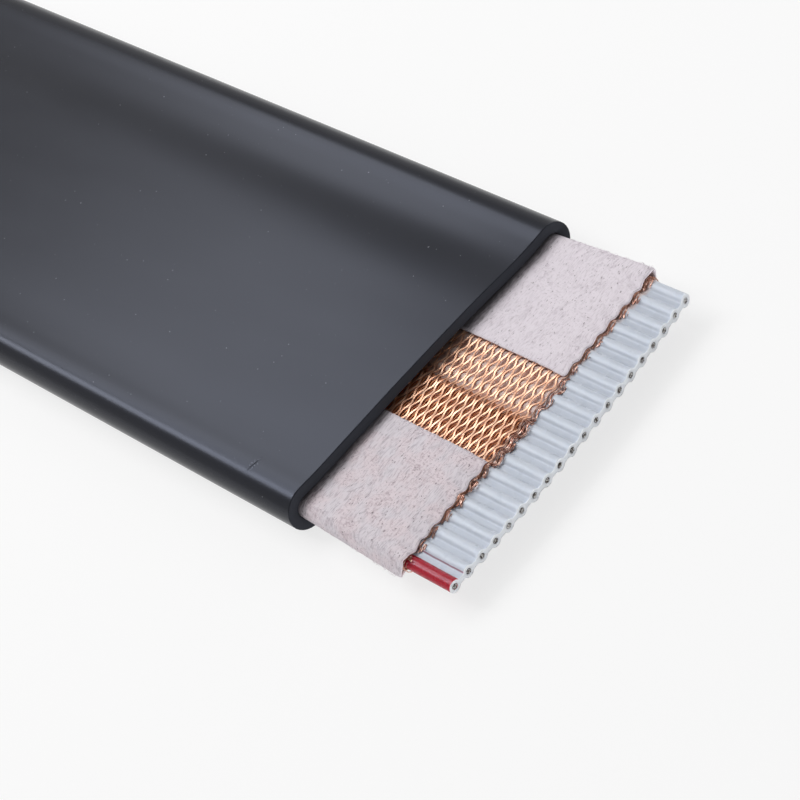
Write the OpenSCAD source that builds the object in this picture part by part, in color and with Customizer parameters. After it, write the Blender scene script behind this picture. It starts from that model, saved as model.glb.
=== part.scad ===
// Flat shielded ribbon cable, a cut sample stripped back in steps.
// X runs along the cable to the stripped end, Y across it, Z up.
// The origin is under the middle of the cable, on the surface that it lies on.

/* [Conductors] */
// Number of conductors side by side
ways = 20; // [10:1:30]
// Distance between neighbouring conductors
pitch = 1.27; // [1.2:0.01:2]
// Diameter of one strand of a conductor
strand_d = 0.127; // [0.08:0.001:0.2]
// Room between the strands of a conductor
strand_gap = 0.002; // [0.001:0.001:0.01]

/* [Ribbon] */
// Diameter of the insulation round a conductor
insulation_d = 0.9; // [0.8:0.01:1.1]
// Thickness of the web between two conductors
web_t = 0.42; // [0.2:0.01:0.5]
// Radius of the fillets that carry the ridges into the webs
web_fillet = 0.2; // [0.05:0.01:0.25]
// Radial room between a conductor and its insulation
bore_clearance = 0.02; // [0.005:0.001:0.03]
// Radius of the curved snip at the end of the ribbon
snip_r = 165; // [100:1:400]
// Angle of the snip away from square
snip_angle = 4; // [0:0.5:10]

/* [Copper mesh] */
// Thickness of the expanded copper sheet
mesh_t = 0.1; // [0.05:0.01:0.2]
// Height over the webs at which the sheet bridges two ridges
mesh_lift = 0.16; // [0.05:0.01:0.2]
// Length of a diamond cell, across the cable
cell_long = 1.52; // [1.2:0.01:2.4]
// Width of a diamond cell, along the cable
cell_short = 0.92; // [0.8:0.01:1.6]
// Width of the strands between the cells
mesh_strand = 0.16; // [0.1:0.01:0.24]
// Solid copper left between the jacket's cut and the first cell
mesh_margin = 0.35; // [0.1:0.05:1]
// Place across the cable of the lap's edge
lap_edge = -0.25; // [-2:0.05:2]
// Width over which the sheet lies double
lap_w = 7.5; // [5:0.1:9]
// Length of mesh that shows past the fleece
mesh_lip = 0.7; // [0.3:0.1:2]

/* [Fleece wrap] */
// Thickness of the fleece tape
fleece_t = 0.15; // [0.08:0.01:0.4]
// Width of the bare window between the tape's two edges
window_w = 7.6; // [4:0.1:12]
// Place across the cable of the window's middle
window_y = -0.36; // [-3:0.01:3]
// Length of fleece that shows past the jacket
fleece_lip = 8.9; // [4:0.1:20]
// Angle of the fleece's and the mesh's cut away from square
fleece_angle = 2; // [0:0.5:6]

/* [Jacket] */
// Wall of the jacket
jacket_wall = 0.8; // [0.5:0.05:1.5]
// Length of the jacket
jacket_len = 76.7; // [40:0.1:160]
// Length of ribbon past the jacket
strip_len = 13.3; // [12:0.1:30]

/* [Fits] */
// Room between one layer and the next
layer_clearance = 0.03; // [0.01:0.01:0.1]

/* [Hidden] */
$fn = 48;
// Centre distance of the two outermost conductors
flat_w = (ways - 1) * pitch;
// Centre distance of the outer layers' round sides, which hug the mesh where it lies single
wrap_w = flat_w - 2 * mesh_t;
// Half heights of the layers, from the conductors outwards
bore_r = 1.5 * strand_d + strand_gap + bore_clearance;
insulation_r = insulation_d / 2;
mesh_in_r = insulation_r + layer_clearance;
mesh_valley = min(mesh_in_r, web_t / 2 + mesh_lift);
mesh_out_r = mesh_in_r + mesh_t;
lap_out_r = mesh_out_r + mesh_t;
fleece_in_r = lap_out_r + layer_clearance;
fleece_out_r = fleece_in_r + fleece_t;
jacket_in_r = fleece_out_r + layer_clearance;
jacket_out_r = jacket_in_r + jacket_wall;
// Depth by which neighbouring arcs cross, so that none of them only touch
arc_bite = 0.002;
// Fillets at the ridges' feet, no larger than the room between two ridges
fillet_room = (pow(pitch / 2, 2) - pow(insulation_r, 2) + pow(web_t / 2, 2)) / (insulation_d - web_t);
fillet_r = min(web_fillet, fillet_room);
// Centre of a fillet from its ridge's, and the height at which the two arcs meet
fillet_z = web_t / 2 + fillet_r - arc_bite;
fillet_reach = insulation_r + fillet_r - arc_bite;
fillet_y = sqrt(pow(fillet_reach, 2) - pow(fillet_z, 2));
foot_z = fillet_z * insulation_r / fillet_reach;
// Height of the conductors above the surface
mid_z = jacket_out_r;
// Places along the cable: its plain back end, the jacket's cut, the fleece's and the mesh's
back_x = -(jacket_len + strip_len) / 2;
tip_x = back_x + jacket_len + strip_len;
cut_x = back_x + jacket_len;
fleece_x = cut_x + fleece_lip;
mesh_x = fleece_x + mesh_lip;
// Half lengths of one diamond gap, which leave the strands their width
cell_side = sqrt(pow(cell_long, 2) + pow(cell_short, 2)) / 2;
gap_long = cell_long / 2 - mesh_strand * cell_side / cell_short;
gap_short = cell_short / 2 - mesh_strand * cell_side / cell_long;
gap_rows = floor(2 * window_w / cell_long);
gap_columns = ceil((fleece_lip + mesh_lip - mesh_margin) / cell_short);
// Margin by which cutting shapes reach past what they cut
over = 5;

function conductor_name(i) = str("conductor_", i < 10 ? "0" : "", i);

// Place across the cable of conductor i, counted from the marked edge
function conductor_y(i) = (i - 1) * pitch - flat_w / 2;

// Sweeps a section, drawn across the cable, from the back end to x
module along(x) {
    translate([back_x, 0, mid_z])
        rotate([90, 0, 90])
            linear_extrude(x - back_x)
                children();
}

// Flat section with round sides, of half height r
module flat_section(r) {
    square([wrap_w, 2 * r], center = true);
    for (side = [-1, 1])
        translate([side * wrap_w / 2, 0])
            circle(r);
}

// Section that follows the ridges, of half height r over a conductor and valley between two
module ridged_section(r, valley) {
    square([flat_w, 2 * valley], center = true);
    for (i = [1 : ways])
        translate([conductor_y(i), 0])
            circle(r);
}

// Foot of a ridge on one side, with a concave fillet to the web above and below
module ridge_foot(side) {
    difference() {
        translate([side * fillet_y / 2, 0])
            square([fillet_y, 2 * foot_z], center = true);
        for (face = [-1, 1])
            translate([side * fillet_y, face * fillet_z])
                circle(fillet_r);
    }
}

// Section of the whole ribbon, without its bores
module ribbon_section() {
    ridged_section(insulation_r, web_t / 2);
    for (i = [1 : ways - 1]) {
        translate([conductor_y(i), 0])
            ridge_foot(1);
        translate([conductor_y(i + 1), 0])
            ridge_foot(-1);
    }
}

// Everything past a cut across the cable at x, turned by angle
module past_cut(x, angle) {
    translate([x, 0, 0])
        rotate([0, 0, angle])
            translate([0, -flat_w, -over])
                cube([fleece_lip + over, 2 * flat_w, 2 * (mid_z + over)]);
}

// Everything short of the curved snip that ends the ribbon and its conductors
module inside_snip() {
    translate([tip_x - snip_r, -snip_r * sin(snip_angle), -over])
        intersection() {
            cylinder(r = snip_r, h = 2 * (mid_z + over), $fn = 360);
            translate([snip_r - jacket_len - strip_len - over, -flat_w, 0])
                cube([jacket_len + strip_len + 2 * over, 4 * flat_w, 2 * (mid_z + over)]);
        }
}

module jacket() {
    color("#3a3b40")
        along(cut_x)
            difference() {
                flat_section(jacket_out_r);
                flat_section(jacket_in_r);
            }
}

module fleece_wrap() {
    color("#dcd4da")
        difference() {
            along(fleece_x + over)
                difference() {
                    flat_section(fleece_out_r);
                    flat_section(fleece_in_r);
                    translate([window_y - window_w / 2, 0])
                        square([window_w, fleece_out_r + over]);
                }
            past_cut(fleece_x, fleece_angle);
        }
}

// One diamond gap through the upper wall of the mesh
module mesh_gap() {
    translate([0, 0, mid_z + web_t / 2])
        linear_extrude(lap_out_r)
            polygon([[-gap_short, 0], [0, -gap_long], [gap_short, 0], [0, gap_long]]);
}

// Staggered gaps over the bare window; the last ones break out at the cut and leave prongs
module mesh_gaps() {
    for (row = [0 : gap_rows - 1], column = [0 : gap_columns - 1])
        translate([
            cut_x + mesh_margin + (column + 0.5 + 0.5 * (row % 2)) * cell_short,
            window_y + (row - (gap_rows - 1) / 2) * cell_long / 2,
            0
        ])
            mesh_gap();
}

module copper_mesh() {
    color("#c8825a")
        difference() {
            along(mesh_x + over)
                difference() {
                    union() {
                        ridged_section(mesh_out_r, mesh_valley + mesh_t);
                        intersection() {
                            ridged_section(lap_out_r, mesh_valley + 2 * mesh_t);
                            translate([lap_edge - lap_w, 0])
                                square([lap_w, lap_out_r]);
                        }
                    }
                    ridged_section(mesh_in_r, mesh_valley);
                }
            past_cut(mesh_x, fleece_angle);
            mesh_gaps();
        }
}

module ribbon_insulation() {
    color("#bec5d2")
        intersection() {
            along(tip_x + over)
                difference() {
                    ribbon_section();
                    for (i = [1 : ways])
                        translate([conductor_y(i), 0])
                            circle(bore_r);
                }
            inside_snip();
        }
}

// Seven strands, six of them round the first, cut flush with the insulation
module conductor(i) {
    color("#b9bcc0")
        intersection() {
            along(tip_x + over)
                translate([conductor_y(i), 0]) {
                    circle(d = strand_d);
                    for (turn = [0 : 60 : 300])
                        rotate(turn)
                            translate([strand_d + strand_gap, 0])
                                circle(d = strand_d);
                }
            inside_snip();
        }
}

jacket();
fleece_wrap();
copper_mesh();
ribbon_insulation();
for (i = [1 : ways])
    conductor(i);
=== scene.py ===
import math
import random

import bmesh
import bpy
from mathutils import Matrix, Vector, noise


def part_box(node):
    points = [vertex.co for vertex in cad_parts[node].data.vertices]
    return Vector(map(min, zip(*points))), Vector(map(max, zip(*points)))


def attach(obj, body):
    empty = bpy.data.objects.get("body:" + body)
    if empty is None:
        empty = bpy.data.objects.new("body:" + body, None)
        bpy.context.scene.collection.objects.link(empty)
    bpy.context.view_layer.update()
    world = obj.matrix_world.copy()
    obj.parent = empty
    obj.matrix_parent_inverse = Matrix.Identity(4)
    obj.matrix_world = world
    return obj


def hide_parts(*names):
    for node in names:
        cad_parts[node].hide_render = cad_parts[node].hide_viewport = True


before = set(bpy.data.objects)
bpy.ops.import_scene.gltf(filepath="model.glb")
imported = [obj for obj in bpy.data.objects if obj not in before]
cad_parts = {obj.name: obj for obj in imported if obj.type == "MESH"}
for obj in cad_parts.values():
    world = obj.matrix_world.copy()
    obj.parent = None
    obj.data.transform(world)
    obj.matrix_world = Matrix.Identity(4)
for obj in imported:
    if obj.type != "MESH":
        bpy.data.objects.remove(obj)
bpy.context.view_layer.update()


# Conductors
# Each is seven strands of tinned copper wire, laid together and cut off flush with the insulation.
# The shears have smeared the cut ends, so copper and bright tin show side by side; the copper patches are
# painted dark, partly as painted shade.
mm = 0.001
conductors = sorted(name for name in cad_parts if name.startswith("conductor"))
smear_and_shade_size = 0.11 * mm


def paint(red, green, blue):
    """A colour given as it is seen on a screen, from 0 to 255."""
    seen = (red / 255, green / 255, blue / 255)
    return tuple(c / 12.92 if c <= 0.04045 else ((c + 0.055) / 1.055) ** 2.4 for c in seen) + (1.0,)


def node(tree, kind, inputs=None, **settings):
    """One node of a material, its sockets set to values or linked to other nodes' outputs."""
    made = tree.nodes.new("ShaderNode" + kind)
    for name, value in settings.items():
        setattr(made, name, value)
    for name, value in (inputs or {}).items():
        if isinstance(value, bpy.types.NodeSocket):
            tree.links.new(value, made.inputs[name])
        else:
            made.inputs[name].default_value = value
    return made


def finish(name, metallic=0.0):
    """A new material with its node tree, its shader and the piece's own coordinates."""
    material = bpy.data.materials.new(name)
    material.use_nodes = True
    tree = material.node_tree
    shader = tree.nodes["Principled BSDF"]
    shader.inputs["Metallic"].default_value = metallic
    place = node(tree, "TexCoord").outputs["Object"]
    return material, tree, shader, place


def blend_colours(tree, factor, low, high):
    """The colour low where factor is 0, and high where it is 1."""
    made = node(tree, "Mix", data_type="RGBA")
    sockets = {"Factor": made.inputs["Factor"]}
    sockets.update({s.name: s for s in made.inputs if s.type == "RGBA"})
    for name, value in (("Factor", factor), ("A", low), ("B", high)):
        if isinstance(value, bpy.types.NodeSocket):
            tree.links.new(value, sockets[name])
        else:
            sockets[name].default_value = value
    return [s for s in made.outputs if s.type == "RGBA"][0]


def spread(tree, value, low, high, start=0.0, end=1.0):
    """Goes from start to end while value goes from low to high."""
    limits = {"From Min": low, "From Max": high, "To Min": start, "To Max": end}
    return node(tree, "MapRange", {"Value": value, **limits}).outputs["Result"]


def mottle(tree, place, size, detail=2.0, stretch=(1.0, 1.0, 1.0)):
    """Soft random patches of about the size given, drawn out along each axis by stretch."""
    scale = tuple(1.0 / (size * s) for s in stretch)
    drawn = node(tree, "Mapping", {"Vector": place, "Scale": scale}).outputs["Vector"]
    return node(tree, "TexNoise", {"Vector": drawn, "Scale": 1.0, "Detail": detail}).outputs["Fac"]


tinned, tree, shader, place = finish("tinned_wire", 1.0)
# Dark patches: smeared copper, darkened further as painted shade; bright patches: tin.
smear_and_shade = mottle(tree, place, smear_and_shade_size, 3.0)
colour = blend_colours(tree, spread(tree, smear_and_shade, 0.47, 0.62), paint(64, 55, 51), paint(207, 206, 204))
tree.links.new(colour, shader.inputs["Base Color"])
tree.links.new(spread(tree, smear_and_shade, 0.3, 0.7, 0.5, 0.22), shader.inputs["Roughness"])
for name in conductors:
    slots = bpy.data.objects[name].data.materials
    slots.clear()
    slots.append(tinned)


# Ribbon insulation
# One extrusion of soft light grey PVC: a round ridge over each conductor, with webs between; the ridges are
# painted lighter and the webs darker, as painted highlight and painted shade.
# The edge ridge is marked with red ink, which the cut end lacks, and the cut end faces are painted lighter as
# painted light.
# Under the mesh it is painted copper pink, lightened against the strands' shadow as painted light, and dark
# brown under the lap as painted shade.
first_low, first_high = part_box(conductors[0])
last_low, last_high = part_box(conductors[-1])
first_y = (first_low[1] + first_high[1]) / 2
last_y = (last_low[1] + last_high[1]) / 2
flat_half = (last_y - first_y) / 2
pitch = 2 * flat_half / (len(conductors) - 1)
seam_merge = 0.001 * mm
crease_angle = math.radians(40)
ridge_half = 0.46 * mm
web_half = 0.54 * mm
ink_edge_y = first_y + 0.42 * mm
ink_soft = 0.03 * mm
ink_wander = 0.10 * mm
stray_ink_y = first_y + 0.90 * mm
stray_ink_half = 0.05 * mm
tint_short = 0.9 * mm
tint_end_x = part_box("copper_mesh")[1][0] - tint_short
tint_soft = 0.5 * mm
under_lap_shade_w = 0.4 * mm
glow_depth = 0.35 * mm
streak_w = 0.35 * mm
streak_stretch = 24.0
cloud_size = 1.4 * mm
relief_depth = 0.02 * mm


def combine(tree, operation, first, second):
    """One step of arithmetic on two values."""
    return node(tree, "Math", {0: first, 1: second}, operation=operation).outputs["Value"]


def magnitude(tree, value):
    """The value without its sign."""
    return node(tree, "Math", {0: value}, operation="ABSOLUTE").outputs["Value"]


def split(tree, vector):
    """The X, Y and Z of a vector, by name."""
    return node(tree, "SeparateXYZ", {"Vector": vector}).outputs


def make_piece(name, mesh, material, smooth=True):
    """An object of the finished mesh, which rides on the part's one body."""
    data = bpy.data.meshes.new(name)
    mesh.to_mesh(data)
    mesh.free()
    data.polygons.foreach_set("use_smooth", [smooth] * len(data.polygons))
    piece = bpy.data.objects.new(name, data)
    bpy.context.scene.collection.objects.link(piece)
    data.materials.append(material)
    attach(piece, "root")
    return piece


grey_pvc, tree, shader, place = finish("ribbon_pvc")
shader.inputs["Subsurface Weight"].default_value = 1.0
shader.inputs["Subsurface Radius"].default_value = (1.0, 1.0, 1.0)
shader.inputs["Subsurface Scale"].default_value = glow_depth
shader.inputs["Specular IOR Level"].default_value = 0.33
shader.inputs["Specular Tint"].default_value = paint(226, 238, 255)
axes = split(tree, place)
streaks = mottle(tree, place, streak_w, 2.0, (streak_stretch, 1.0, 1.0))
cloud = mottle(tree, place, cloud_size, 3.0)
from_ridge = combine(tree, "PINGPONG", combine(tree, "SUBTRACT", axes["Y"], first_y), pitch / 2)
# Painted highlight and shade: ridges a little lighter, webs darker.
ridge = blend_colours(tree, spread(tree, cloud, 0.3, 0.7), paint(205, 211, 221), paint(211, 216, 226))
body = blend_colours(tree, spread(tree, from_ridge, ridge_half, web_half), ridge, paint(198, 204, 214))
body = blend_colours(tree, spread(tree, streaks, 0.55, 0.9), body, paint(201, 207, 217))
# Painted light and shade under the mesh: copper pink where one layer lies, dark brown under the lap.
under_mesh = spread(tree, axes["X"], tint_end_x, tint_end_x - tint_soft)
under_mesh = combine(tree, "MULTIPLY", under_mesh, spread(tree, cloud, 0.2, 0.6, 0.55, 1.0))
under_lap_shade = spread(tree, axes["Y"], 0.0, -under_lap_shade_w)
copper_tint_and_shade = blend_colours(tree, under_lap_shade, paint(225, 190, 175), paint(190, 131, 103))
body = blend_colours(tree, under_mesh, body, copper_tint_and_shade)
ink_y = combine(tree, "ADD", axes["Y"], spread(tree, cloud, 0.0, 1.0, -ink_wander / 2, ink_wander / 2))
on_edge = spread(tree, ink_y, ink_edge_y + ink_soft, ink_edge_y - ink_soft)
off_line = magnitude(tree, combine(tree, "SUBTRACT", ink_y, stray_ink_y))
on_line = spread(tree, off_line, stray_ink_half, 0.4 * stray_ink_half)
facing = split(tree, node(tree, "NewGeometry").outputs["Normal"])
at_cut = spread(tree, magnitude(tree, facing["X"]), 0.5, 0.7)
ink = blend_colours(tree, streaks, paint(164, 16, 36), paint(183, 29, 49))
colour = blend_colours(tree, on_line, body, paint(171, 136, 151))
colour = blend_colours(tree, on_edge, colour, ink)
# Painted light: the cut end faces are painted lighter than the rest of the ribbon.
colour = blend_colours(tree, at_cut, colour, paint(216, 219, 224))
tree.links.new(colour, shader.inputs["Base Color"])
gloss = spread(tree, cloud, 0.3, 0.7, 0.25, 0.30)
gloss = combine(tree, "ADD", gloss, combine(tree, "MULTIPLY", under_mesh, 0.4))
tree.links.new(gloss, shader.inputs["Roughness"])
relief = node(tree, "Bump", {"Height": streaks, "Strength": 0.03, "Distance": relief_depth})
tree.links.new(relief.outputs["Normal"], shader.inputs["Normal"])

merged = bmesh.new()
merged.from_mesh(bpy.data.objects["ribbon_insulation"].data)
bmesh.ops.remove_doubles(merged, verts=merged.verts, dist=seam_merge)
for edge in merged.edges:
    edge.smooth = edge.calc_face_angle(0.0) < crease_angle
ribbon = make_piece("ribbon_strip", merged, grey_pvc)
facet_normals = ribbon.data.attributes.get("custom_normal")
if facet_normals:
    ribbon.data.attributes.remove(facet_normals)
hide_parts("ribbon_insulation")


# Copper mesh
# A sheet of expanded copper foil: slit, pulled open into staggered cells, and folded once round the ribbon.
# It laps over its own start on top, and its cut end is ragged, painted darker brown with painted glints, and
# pressed down on the ridges.
mid_z = (first_low[2] + first_high[2]) / 2
back_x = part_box("jacket")[0][0]
cut_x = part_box("jacket")[1][0]
fleece_x = cut_x + 8.9 * mm
end_skew = math.tan(math.radians(2))
window_near = -4.16 * mm
window_far = 3.44 * mm
cell_long = 1.39 * mm
cell_short = 0.70 * mm
strand_w = 0.12 * mm
strand_t = 0.05 * mm
strand_rise = 0.02 * mm
strand_lean = math.radians(-3)
bond_slit = 0.02 * mm
bond_flat = 1.1
steps_per_cell = 12
lap_edge = -0.25 * mm
lap_w = 7.5 * mm
lap_rise = 0.13 * mm
lap_ramp_out = 0.35 * mm
lap_ramp_in = 0.15 * mm
layer_shift = 0.12 * mm
lap_shade_y = -0.35 * mm
lap_slant = 0.04
lap_shade_w = 0.30 * mm
mesh_lie = 0.51 * mm
bridge_dip = 0.08 * mm
end_dip = 0.19 * mm
dip_before = 0.9 * mm
dip_after = 0.3 * mm
lip_open = 0.62 * mm
lip_wrapped = 0.55 * mm
lip_swing = 0.4
lip_side = 0.26 * mm
lip_ragged = 0.16 * mm
ragged_size = 0.45 * mm
lip_lead = 0.2 * mm
lip_crush = 0.4
prong_bend = 0.13 * mm
bend_size = 0.5 * mm
bend_shifts = [Vector((9.3, 0.0, 0.0)), Vector((0.0, 9.3, 0.0)), Vector((0.0, 0.0, 9.3))]
side_flare = 0.08 * mm
flare_len = 2.0 * mm
side_start = flat_half + 0.1 * mm
tuck = 0.9 * mm
tarnish_size = 0.7 * mm
glint_mottle_size = 0.22 * mm
brown_before = 0.1 * mm
brown_after = 0.15 * mm
near_run = flat_half + lap_edge
side_run = math.pi * mesh_lie
turns = [0.0, near_run, near_run + side_run, near_run + side_run + 2 * flat_half]
turns.append(turns[-1] + side_run)
outer_top = turns[4] + flat_half
wrap_run = outer_top - lap_edge + lap_w


def smooth_step(value, low, high):
    """A soft step from 0 at low to 1 at high."""
    share = min(max((value - low) / (high - low), 0.0), 1.0)
    return share * share * (3 - 2 * share)


def wrapped(x, run, rise):
    """The place of a point of the sheet, x along the cable and run round it from the sheet's inner edge."""
    if turns[1] <= run <= turns[2] or turns[3] <= run <= turns[4]:
        side, start = (-1, turns[1]) if run <= turns[2] else (1, turns[3])
        angle = (run - start) / mesh_lie
        out = mesh_lie + rise + side_flare * smooth_step(x, fleece_x - flare_len, fleece_x)
        return Vector((x, side * (flat_half + out * math.sin(angle)), mid_z - side * out * math.cos(angle)))
    face = 1
    if run < turns[1]:
        y = lap_edge - run
    elif run < turns[3]:
        y = run - turns[2] - flat_half
        face = -1
    else:
        y = outer_top - run
        rise += lap_rise * smooth_step(lap_edge - y, -lap_ramp_out, lap_ramp_in)
    edge_x = fleece_x - y * end_skew
    dip = bridge_dip + end_dip * smooth_step(x, edge_x - dip_before, edge_x + dip_after)
    lie = mesh_lie - dip * (0.5 - 0.5 * math.cos(2 * math.pi * (y + flat_half) / pitch))
    return Vector((x, y, mid_z + face * (lie + rise)))


def add_strand(mesh, number, start, end):
    """One wavy strand across the cable, from start to end round the wrap, as a flat strip."""
    steps = max(1, round((end - start) / (cell_long / steps_per_cell)))
    strip = bmesh.ops.create_grid(mesh, x_segments=1, y_segments=steps, size=0.5)["verts"]
    covered = mesh.verts.layers.float["covered"]
    middle = cut_x + (number + 0.5) * cell_short / 2
    swing = cell_short / 4 - strand_w / 2 - bond_slit / 2
    for vert in strip:
        across = vert.co.x * strand_w
        run = start + (vert.co.y + 0.5) * (end - start)
        vert[covered] = 1.0 if run < lap_w else 0.0
        wave = math.cos(2 * math.pi * run / cell_long + math.pi * number)
        held = max(-1.0, min(1.0, bond_flat * wave))
        x = middle + swing * held + across * math.cos(strand_lean) + vert[covered] * layer_shift
        vert.co = wrapped(x, run, strand_rise * held + across * math.sin(strand_lean))


def add_plain_sheet(mesh, start_x, end_x, start, end):
    """The part of the sheet that the layers over it hide, which has no need of its cells."""
    steps = math.ceil((end - start) / (pitch / 6))
    for vert in bmesh.ops.create_grid(mesh, x_segments=1, y_segments=steps, size=0.5)["verts"]:
        x = start_x + (vert.co.x + 0.5) * (end_x - start_x)
        vert.co = wrapped(x, start + (vert.co.y + 0.5) * (end - start), 0.0)


def give_thickness(piece, thickness, offset):
    """Makes a sheet into a wall, its middle moved by offset half thicknesses along the normals."""
    wall = piece.modifiers.new("wall", "SOLIDIFY")
    wall.thickness = thickness
    wall.offset = offset


copper, tree, shader, place = finish("bare_copper", 0.9)
tarnish = mottle(tree, place, tarnish_size, 4.0)
colour = blend_colours(tree, spread(tree, tarnish, 0.35, 0.65), paint(233, 182, 151), paint(244, 203, 174))
# The covered under-layer strands are painted darker and redder: painted shade of the layer over them.
covered = node(tree, "Attribute", attribute_name="covered").outputs["Fac"]
colour = blend_colours(tree, covered, colour, paint(220, 153, 112))
axes = split(tree, place)
from_lap = combine(tree, "ADD", axes["Y"], combine(tree, "MULTIPLY", axes["X"], lap_slant))
from_lap = combine(tree, "SUBTRACT", from_lap, lap_shade_y + cut_x * lap_slant)
lap_shade = spread(tree, magnitude(tree, from_lap), lap_shade_w, lap_shade_w / 4, 0.0, 0.7)
colour = blend_colours(tree, lap_shade, colour, paint(160, 104, 74))
# Past the tape's edge the copper is painted darker brown, flecked with lighter spots that are painted glints.
from_edge = combine(tree, "ADD", axes["X"], combine(tree, "MULTIPLY", axes["Y"], end_skew))
lip_mask = spread(tree, from_edge, fleece_x - brown_before, fleece_x + brown_after)
glint_mottle = mottle(tree, place, glint_mottle_size)
lip_brown_and_glints = blend_colours(tree, spread(tree, glint_mottle, 0.47, 0.63), paint(158, 110, 94), paint(238, 204, 188))
colour = blend_colours(tree, lip_mask, colour, lip_brown_and_glints)
tree.links.new(colour, shader.inputs["Base Color"])
tree.links.new(spread(tree, tarnish, 0.3, 0.7, 0.54, 0.44), shader.inputs["Roughness"])

strands = bmesh.new()
strands.verts.layers.float.new("covered")
half_cell = cell_short / 2
lip_room = (lip_open + lip_ragged) / lip_crush + flat_half * end_skew
for number in range(math.ceil(-tuck / half_cell), math.ceil((fleece_x + lip_room - cut_x) / half_cell)):
    if cut_x + number * half_cell > fleece_x - flat_half * end_skew - tuck:
        add_strand(strands, number, 0.0, wrap_run)
    else:
        add_strand(strands, number, 0.0, lap_edge - window_near + tuck)
        add_strand(strands, number, outer_top - window_far - tuck, outer_top - window_near + tuck)
past_lip = []
for face in strands.faces:
    centre = face.calc_center_median()
    edge_x = fleece_x - centre.y * end_skew
    on_top = centre.z > mid_z and window_near < centre.y < window_far
    lip = lip_open
    if abs(centre.y) > side_start:
        lip = lip_side
    elif not on_top:
        ridge = (centre.y + flat_half + lip_lead) / pitch
        lip = lip_wrapped * (1 - lip_swing + lip_swing * math.cos(2 * math.pi * ridge))
    lip += lip_ragged * noise.noise(centre / ragged_size)
    if edge_x + (centre.x - edge_x) * lip_crush > edge_x + lip:
        past_lip.append(face)
bmesh.ops.delete(strands, geom=past_lip, context="FACES")
for vert in strands.verts:
    edge_x = fleece_x - vert.co.y * end_skew
    past = vert.co.x - edge_x
    if past > 0:
        spot = vert.co / bend_size
        bend = Vector([noise.noise(spot + shift) for shift in bend_shifts])
        bend *= prong_bend * smooth_step(past, 0, lip_open)
        vert.co.x = edge_x + past * lip_crush
        vert.co += Vector((bend.x, bend.y, bend.z / 2))
inner_end_x = fleece_x - flat_half * end_skew - tuck
add_plain_sheet(strands, back_x, cut_x - tuck, 0.0, lap_edge - window_near + tuck)
add_plain_sheet(strands, back_x, inner_end_x, lap_edge - window_near + tuck, outer_top - window_far - tuck)
add_plain_sheet(strands, back_x, cut_x - tuck, outer_top - window_far - tuck, outer_top - window_near + tuck)
add_plain_sheet(strands, back_x, inner_end_x, outer_top - window_near + tuck, wrap_run)
bmesh.ops.recalc_face_normals(strands, faces=strands.faces)
copper_mesh = make_piece("expanded_copper", strands, copper, smooth=False)
give_thickness(copper_mesh, strand_t, 0.0)
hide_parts("copper_mesh")


# Fleece wrap
# A tape of white nonwoven fleece, folded round the mesh from below so that a window stays bare on top.
# Its loose end is cut a little askew and stands out at the two folds, and next to the jacket's cut it is
# painted dark grey as painted shadow.
fleece_t = 0.13 * mm
fold_r = 0.72 * mm
fold_y = 12.03 * mm
fold_shoulder = 0.5 * mm
fold_crease = 1.0 * mm
corner_lead = 0.2 * mm
corner_short = 0.65 * mm
corner_w = 1.5 * mm
over_lap = 0.08 * mm
over_lap_out = 1.0 * mm
over_lap_in = 0.4 * mm
single_settle = 0.10 * mm
single_settle_w = 1.2 * mm
end_settle = 0.11 * mm
end_settle_len = 1.4 * mm
fold_free = 0.6 * mm
end_scallop = 0.26 * mm
fleece_wave = 0.012 * mm
wave_size = 1.3 * mm
fleece_ragged = 0.05 * mm
end_rag_size = 0.7 * mm
side_rag_size = 0.6 * mm
tape_rows = 80
tape_columns = 180
shown_share = 0.75
shown_x = cut_x - 1.0 * mm
stroke_w = 0.08 * mm
cross_w = 0.09 * mm
patch_size = 1.5 * mm
fleck_w = 0.12 * mm
side_blend = 3.0 * mm
cut_shadow_w = 0.65 * mm
cut_shadow_fuzz = 0.12 * mm
fleece_runs = [0.0]
for length in (fold_y + window_near, math.pi * fold_r, 2 * fold_y, math.pi * fold_r, fold_y - window_far):
    fleece_runs.append(fleece_runs[-1] + length)


def walk(points, share):
    """The point at a share of the way along a row of points."""
    lengths = [(b - a).length for a, b in zip(points, points[1:])]
    left = share * sum(lengths)
    for a, b, length in zip(points, points[1:], lengths):
        if left <= length:
            return a.lerp(b, left / length)
        left -= length
    return points[-1]


def fold(x, share, side, rise):
    """A point on a fold, which is round under the jacket and creased at the tape's loose end."""
    out = fold_r + rise
    angle = math.pi * share
    turn = Vector((fold_y + out * math.sin(angle), -out * math.cos(angle)))
    corners = [(0.0, -out), (fold_shoulder + rise, -out), (fold_crease + rise, out), (0.0, out)]
    crease = walk([Vector((fold_y + reach, height)) for reach, height in corners], share)
    loose = min(max((x - cut_x) / (fleece_x - cut_x), 0.0), 1.0)
    place = turn.lerp(crease, loose)
    return Vector((x, side * place.x, mid_z + side * place.y))


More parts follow.
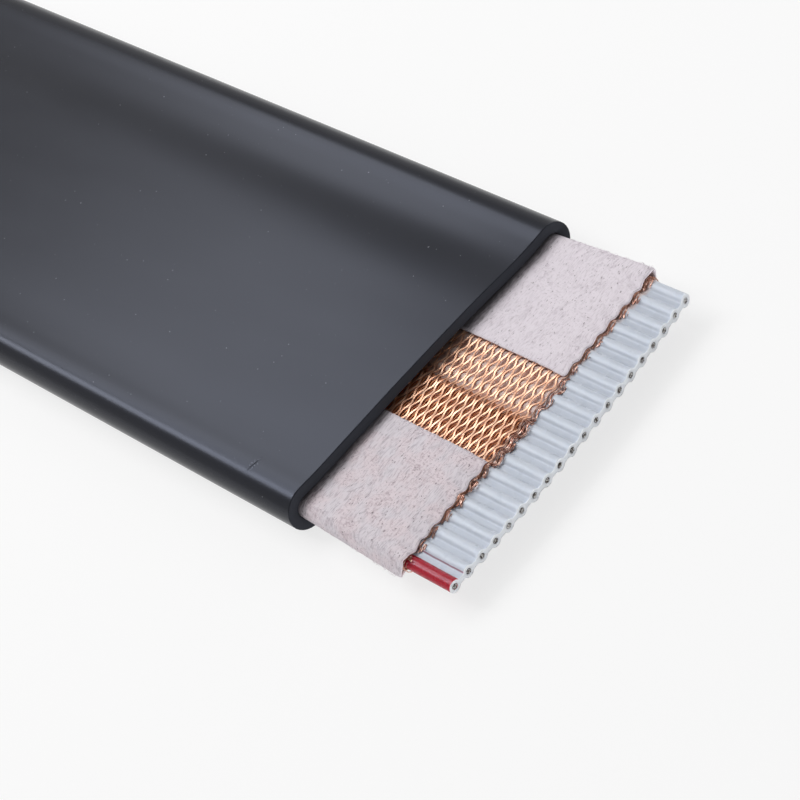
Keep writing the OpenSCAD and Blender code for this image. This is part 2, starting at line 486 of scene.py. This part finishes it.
def folded(x, run, rise):
    """The place of a point of the tape, x along the cable and run round it from the window's near edge."""
    if fleece_runs[1] < run < fleece_runs[2]:
        return fold(x, (run - fleece_runs[1]) / (fleece_runs[2] - fleece_runs[1]), -1, rise)
    if fleece_runs[3] < run < fleece_runs[4]:
        return fold(x, (run - fleece_runs[3]) / (fleece_runs[4] - fleece_runs[3]), 1, rise)
    if fleece_runs[2] <= run <= fleece_runs[3]:
        return Vector((x, run - fleece_runs[2] - fold_y, mid_z - fold_r - rise))
    y = window_near - run if run <= fleece_runs[1] else fold_y + fleece_runs[4] - run
    past_lap = y - lap_edge + lap_w
    rise += over_lap * smooth_step(past_lap, -over_lap_out, over_lap_in) * (y < 0)
    valley = 0.5 - 0.5 * math.cos(2 * math.pi * (y + flat_half) / pitch)
    settled = smooth_step(x + y * end_skew, fleece_x - end_settle_len, fleece_x)
    settled *= smooth_step(fold_y - abs(y), 0.0, fold_free)
    on_single = smooth_step(fold_y - y, 0.0, single_settle_w) * (y > 0)
    rise -= settled * (end_settle + end_scallop * valley) + (1 - settled) * single_settle * on_single
    return Vector((x, y, mid_z + fold_r + rise))


fleece, tree, shader, place = finish("white_fleece")
shader.inputs["Roughness"].default_value = 0.9
shader.inputs["Specular IOR Level"].default_value = 0.2
axes = split(tree, place)
strokes = mottle(tree, place, stroke_w, 2.0, (1.0, 5.5, 3.0))
cross_strokes = mottle(tree, place, cross_w, 2.0, (2.4, 1.2, 2.0))
patches = mottle(tree, place, patch_size, 3.0)
pink = spread(tree, patches, 0.40, 0.60)
flecks = mottle(tree, place, fleck_w, 1.0, (0.8, 2.0, 1.0))
flecks = combine(tree, "ADD", flecks, combine(tree, "MULTIPLY", pink, 0.02))
fibre_mix = blend_colours(tree, spread(tree, patches, 0.45, 0.75), strokes, cross_strokes)
fibre_mix = node(tree, "SeparateColor", {"Color": fibre_mix}).outputs["Red"]
near_side = spread(tree, axes["Y"], side_blend, -side_blend)
shade = blend_colours(tree, pink, paint(202, 194, 201), paint(195, 179, 186))
shade = blend_colours(tree, near_side, paint(217, 208, 215), shade)
light = blend_colours(tree, pink, paint(227, 220, 226), paint(230, 218, 223))
light = blend_colours(tree, near_side, paint(238, 230, 237), light)
colour = blend_colours(tree, spread(tree, fibre_mix, 0.34, 0.51), shade, light)
colour = blend_colours(tree, spread(tree, flecks, 0.70, 0.76), colour, paint(140, 127, 134))
# Painted shadow: dark grey on the tape just past the jacket's cut.
cut_shadow_x = combine(tree, "ADD", axes["X"], spread(tree, strokes, 0.3, 0.7, -cut_shadow_fuzz, cut_shadow_fuzz))
cut_shadow = spread(tree, cut_shadow_x, cut_x + cut_shadow_w, cut_x, 0.0, 0.8)
colour = blend_colours(tree, cut_shadow, colour, paint(78, 74, 80))
tree.links.new(colour, shader.inputs["Base Color"])
relief = node(tree, "Bump", {"Height": fibre_mix, "Strength": 0.25, "Distance": relief_depth})
tree.links.new(relief.outputs["Normal"], shader.inputs["Normal"])

tape = bmesh.new()
for vert in bmesh.ops.create_grid(tape, x_segments=tape_rows, y_segments=tape_columns, size=0.5)["verts"]:
    share = vert.co.x + 0.5
    run = (vert.co.y + 0.5) * fleece_runs[-1]
    end_x = fleece_x - folded(fleece_x, run, 0.0).y * end_skew
    end_x += fleece_ragged * noise.noise(Vector((run / end_rag_size, 3.0, 0.0)))
    end_x += corner_lead * smooth_step(run, fleece_runs[1] - corner_w, fleece_runs[1])
    end_x -= corner_short * smooth_step(run, fleece_runs[1], fleece_runs[2])
    end_x += (corner_short - corner_lead) * smooth_step(run, fleece_runs[2], fleece_runs[3])
    if share < 1 - shown_share:
        x = back_x + (shown_x - back_x) * share / (1 - shown_share)
    else:
        x = shown_x + (end_x - shown_x) * (share - 1 + shown_share) / shown_share
    if run in (0.0, fleece_runs[-1]):
        run += fleece_ragged * noise.noise(Vector((x / side_rag_size, run / mm, 5.0)))
    wave = fleece_wave * noise.noise(Vector((x, run, 0.0)) / wave_size)
    vert.co = folded(x, run, wave)
bmesh.ops.recalc_face_normals(tape, faces=tape.faces)
fleece_tape = make_piece("fleece_tape", tape, fleece)
give_thickness(fleece_tape, fleece_t, 0.0)
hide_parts("fleece_wrap")


# Fleece fibres
# Short polyester fibres that stand out of the tape's surface and fray at its cut edges.
# Most of them lie across the cable, as the web was laid, and they are only bonded at points.
fibre_count = 3600
fibre_w = 0.016 * mm
fibre_t = 0.008 * mm
fibre_lengths = (0.2, 0.6)
fibres_start = cut_x - 0.3 * mm
fibres_end = fleece_x + 0.2 * mm
edge_share = 0.3
laid_share = 0.7
laid_turn = 0.45
stray_turn = 1.5
bow_limit = 0.15
lift_limit = 0.012
fibre_dice = random.Random(11)
fibres = bmesh.new()
for number in range(fibre_count):
    x = fibre_dice.uniform(fibres_start, fibres_end)
    run = fibre_dice.uniform(0.0, fleece_runs[-1])
    laid = fibre_dice.random() < laid_share
    heading = fibre_dice.gauss(0.0, laid_turn) if laid else fibre_dice.uniform(-stray_turn, stray_turn)
    length = fibre_dice.uniform(*fibre_lengths) * mm
    curl = fibre_dice.uniform(-bow_limit, bow_limit)
    lift = fibre_dice.uniform(0.0, lift_limit) * mm
    end_x = fleece_x - folded(x, run, 0.0).y * end_skew
    if x > end_x - edge_share * length:
        continue
    strip = bmesh.ops.create_grid(fibres, x_segments=4, y_segments=1, size=0.5)["verts"]
    for vert in strip:
        along = vert.co.x * length
        bow = curl * length * (4 * vert.co.x ** 2 - 0.5)
        side = bow + vert.co.y * fibre_w
        fibre_run = run + along * math.cos(heading) - side * math.sin(heading)
        fibre_x = x + along * math.sin(heading) + side * math.cos(heading)
        vert.co = folded(fibre_x, fibre_run, fleece_t / 2 + lift * (1 - 4 * vert.co.x ** 2))
bmesh.ops.recalc_face_normals(fibres, faces=fibres.faces)
fleece_fibres = make_piece("fleece_fibres", fibres, fleece)
give_thickness(fleece_fibres, fibre_t, 0.0)


# Jacket
# A sleeve of soft black PVC, extruded over the wrapped ribbon and cut back square with a knife.
# It has sunk a little beside its thick edges, so its top shows long soft bands, and it has picked up dust.
wall = 0.8 * mm
jacket_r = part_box("jacket")[1][2] - mid_z
side_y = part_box("jacket")[1][1] - jacket_r
around = 4 * side_y + 2 * math.pi * jacket_r
far_groove_y = 8.9 * mm
far_groove_w = 1.6 * mm
far_groove = 0.17 * mm
near_groove_y = -9.6 * mm
near_groove_w = 1.0 * mm
near_groove = 0.035 * mm
groove_run_in = 12.0 * mm
groove_at_cut = 0.6
crown = 0.03 * mm
wobble = 0.006 * mm
wobble_len = 9.0 * mm
wobble_w = 2.5 * mm
flat_blend = 1.2 * mm
cut_bow = 0.12 * mm
knife_edge = 0.06 * mm
sleeve_rows = 60
sleeve_columns = 176
row_crowding = 1.6
nick_back = 4.4 * mm
nick_y = -12.0 * mm
nick_turn = math.radians(78)
nick_size = (0.75 * mm, 0.07 * mm, mm)
scuff_size = (0.7 * mm, 0.34 * mm, mm)
haze_size = 6.0 * mm
dust_size = 0.16 * mm
crumb_size = 0.10 * mm


def sunken(x, y):
    """How far the jacket's top lies under its flat edges."""
    far = far_groove * math.exp(-0.5 * ((y - far_groove_y) / far_groove_w) ** 2)
    near = near_groove * math.exp(-0.5 * ((y - near_groove_y) / near_groove_w) ** 2)
    deeper = groove_at_cut + (1 - groove_at_cut) * smooth_step(cut_x - x, 0.0, groove_run_in)
    ripple = wobble * (1 + noise.noise(Vector((x / wobble_len, y / wobble_w, 0.0))))
    middle = crown * (y / side_y) ** 2
    return (deeper * (far + near) + middle + ripple) * smooth_step(side_y - abs(y), 0.0, flat_blend)


def sleeve(x, run):
    """The place of a point on the outside, run round the sleeve from the middle of its underside."""
    if run < side_y:
        return Vector((x, run, mid_z - jacket_r))
    if run < side_y + math.pi * jacket_r:
        angle = (run - side_y) / jacket_r
        return Vector((x, side_y + jacket_r * math.sin(angle), mid_z - jacket_r * math.cos(angle)))
    if run < 3 * side_y + math.pi * jacket_r:
        y = 2 * side_y + math.pi * jacket_r - run
        return Vector((x, y, mid_z + jacket_r - sunken(x, y)))
    if run < 3 * side_y + 2 * math.pi * jacket_r:
        angle = (run - 3 * side_y - math.pi * jacket_r) / jacket_r
        return Vector((x, -side_y - jacket_r * math.sin(angle), mid_z + jacket_r * math.cos(angle)))
    return Vector((x, run - around, mid_z - jacket_r))


def soften_edges(piece, width, segments):
    """Rounds the sharp edges of a piece a little."""
    edges = piece.modifiers.new("edges", "BEVEL")
    edges.width = width
    edges.segments = segments
    edges.limit_method = "ANGLE"
    edges.angle_limit = math.radians(50)


black_pvc, tree, shader, place = finish("black_pvc")
shader.inputs["Specular IOR Level"].default_value = 0.24
shader.inputs["Specular Tint"].default_value = paint(210, 222, 255)
facing = split(tree, node(tree, "NewGeometry").outputs["Normal"])
at_cut = spread(tree, magnitude(tree, facing["X"]), 0.55, 0.8)
haze = mottle(tree, place, haze_size, 3.0, (3.0, 1.0, 1.0))
dust = mottle(tree, place, dust_size, 0.0)
nick_centre = (cut_x - nick_back, nick_y, mid_z + jacket_r)
nick_marks = []
for size in (nick_size, scuff_size):
    across = {"Vector": place, "Location": nick_centre, "Rotation": (0.0, 0.0, nick_turn), "Scale": size}
    across = node(tree, "Mapping", across, vector_type="TEXTURE").outputs["Vector"]
    nick_marks.append(node(tree, "TexGradient", {"Vector": across}, gradient_type="SPHERICAL").outputs["Fac"])
crumbs = spread(tree, mottle(tree, place, crumb_size), 0.52, 0.62)
scuffed = combine(tree, "MULTIPLY", spread(tree, nick_marks[1], 0.05, 0.4), crumbs)
colour = blend_colours(tree, spread(tree, haze, 0.3, 0.7), paint(31, 31, 34), paint(35, 35, 38))
colour = blend_colours(tree, spread(tree, dust, 0.87, 0.91), colour, paint(129, 130, 134))
colour = blend_colours(tree, scuffed, colour, paint(81, 83, 90))
# The nick is drawn in colour alone: its near-black line is painted shade of the groove.
colour = blend_colours(tree, spread(tree, nick_marks[0], 0.1, 0.5), colour, paint(7, 7, 11))
colour = blend_colours(tree, at_cut, colour, paint(46, 47, 51))
tree.links.new(colour, shader.inputs["Base Color"])
gloss = spread(tree, haze, 0.3, 0.7, 0.22, 0.26)
gloss = combine(tree, "ADD", gloss, combine(tree, "MULTIPLY", at_cut, 0.5))
gloss = combine(tree, "ADD", gloss, combine(tree, "MULTIPLY", nick_marks[0], 0.5))
tree.links.new(gloss, shader.inputs["Roughness"])

skin = bmesh.new()
for vert in bmesh.ops.create_grid(skin, x_segments=sleeve_rows, y_segments=sleeve_columns, size=0.5)["verts"]:
    run = (vert.co.y + 0.5) * around
    share = vert.co.x + 0.5
    y = sleeve(0.0, run).y
    end_x = cut_x - cut_bow * math.cos(math.pi * y / side_y) / 2 - cut_bow / 2
    x = back_x + (end_x - back_x) * (1 - (1 - share) ** row_crowding)
    vert.co = sleeve(x, run)
bmesh.ops.remove_doubles(skin, verts=skin.verts, dist=seam_merge)
bmesh.ops.recalc_face_normals(skin, faces=skin.faces)
jacket = make_piece("jacket_sleeve", skin, black_pvc)
give_thickness(jacket, wall, -1.0)
soften_edges(jacket, knife_edge, 2)
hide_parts("jacket")


# Stage, light and camera
# A plain pale floor, two softboxes over the cable's back end, a fill light far to the plain side,
# a low one in front for the cut ends, and the photograph's view.
floor_half = 3.0
floor_glow = 0.75
floor_mesh = bmesh.new()
bmesh.ops.create_grid(floor_mesh, x_segments=1, y_segments=1, size=floor_half)
floor_data = bpy.data.meshes.new("floor")
floor_mesh.to_mesh(floor_data)
floor_mesh.free()
floor = bpy.data.objects.new("floor", floor_data)
bpy.context.scene.collection.objects.link(floor)
paper, tree, shader, place = finish("pale_paper")
shader.inputs["Roughness"].default_value = 0.9
shader.inputs["Base Color"].default_value = (0.9, 0.9, 0.9, 1.0)
ray = node(tree, "LightPath").outputs
seen = combine(tree, "MAXIMUM", ray["Is Camera Ray"], ray["Is Glossy Ray"])
seen = combine(tree, "MAXIMUM", seen, ray["Is Transmission Ray"])
white = node(tree, "Emission", {"Color": (1.0, 1.0, 1.0, 1.0), "Strength": 1.0}).outputs["Emission"]
share = combine(tree, "MULTIPLY", seen, floor_glow)
mixed = node(tree, "MixShader", {0: share, 1: shader.outputs["BSDF"], 2: white}).outputs["Shader"]
tree.links.new(mixed, tree.nodes["Material Output"].inputs["Surface"])
floor_data.materials.append(paper)

world = bpy.data.worlds.new("studio")
world.use_nodes = True
tree = world.node_tree
toward = split(tree, node(tree, "TexCoord").outputs["Generated"])
sky = spread(tree, toward["Z"], 0.2, 1.0, 0.05, 0.10)
sky = combine(tree, "ADD", sky, spread(tree, toward["X"], 0.1, -0.4, 0.0, 0.6))
sky = combine(tree, "MAXIMUM", sky, node(tree, "LightPath").outputs["Is Camera Ray"])
tree.links.new(sky, tree.nodes["Background"].inputs["Strength"])
tree.nodes["Background"].inputs["Color"].default_value = (1.0, 1.0, 1.0, 1.0)
bpy.context.scene.world = world

aim = Vector((0.03, 0.0, 0.0))
light_distance = 0.38


def add_softbox(name, toward, width, height, brightness):
    """A soft rectangular lamp in the direction given, as bright as a white wall times brightness."""
    data = bpy.data.lights.new(name, "AREA")
    data.shape = "RECTANGLE"
    data.size = width
    data.size_y = height
    data.energy = math.pi * brightness * width * height
    lamp = bpy.data.objects.new(name, data)
    lamp.location = aim + Vector(toward).normalized() * light_distance
    lamp.rotation_euler = (aim - lamp.location).to_track_quat("-Z", "Y").to_euler()
    bpy.context.scene.collection.objects.link(lamp)


add_softbox("window", (-0.641, 0.102, 0.760), 0.20, 0.17, 4.7)
add_softbox("near_window", (-0.672, -0.292, 0.682), 0.09, 0.17, 9.4)
add_softbox("side_fill", (-0.22, 0.85, 0.48), 0.25, 0.25, 1.2)
add_softbox("front_fill", (0.93, -0.20, 0.06), 0.30, 0.04, 21.6)

camera_data = bpy.data.cameras.new("camera")
camera_data.lens = 133.05
camera_data.sensor_width = 36.0
camera_data.clip_start = 0.01
camera = bpy.data.objects.new("camera", camera_data)
camera.location = (0.154664, -0.062066, 0.12985)
camera.rotation_euler = [math.radians(angle) for angle in (43.183, 20.476, 43.892)]
bpy.context.scene.collection.objects.link(camera)
bpy.context.scene.camera = camera
bpy.context.scene.view_settings.view_transform = "Standard"
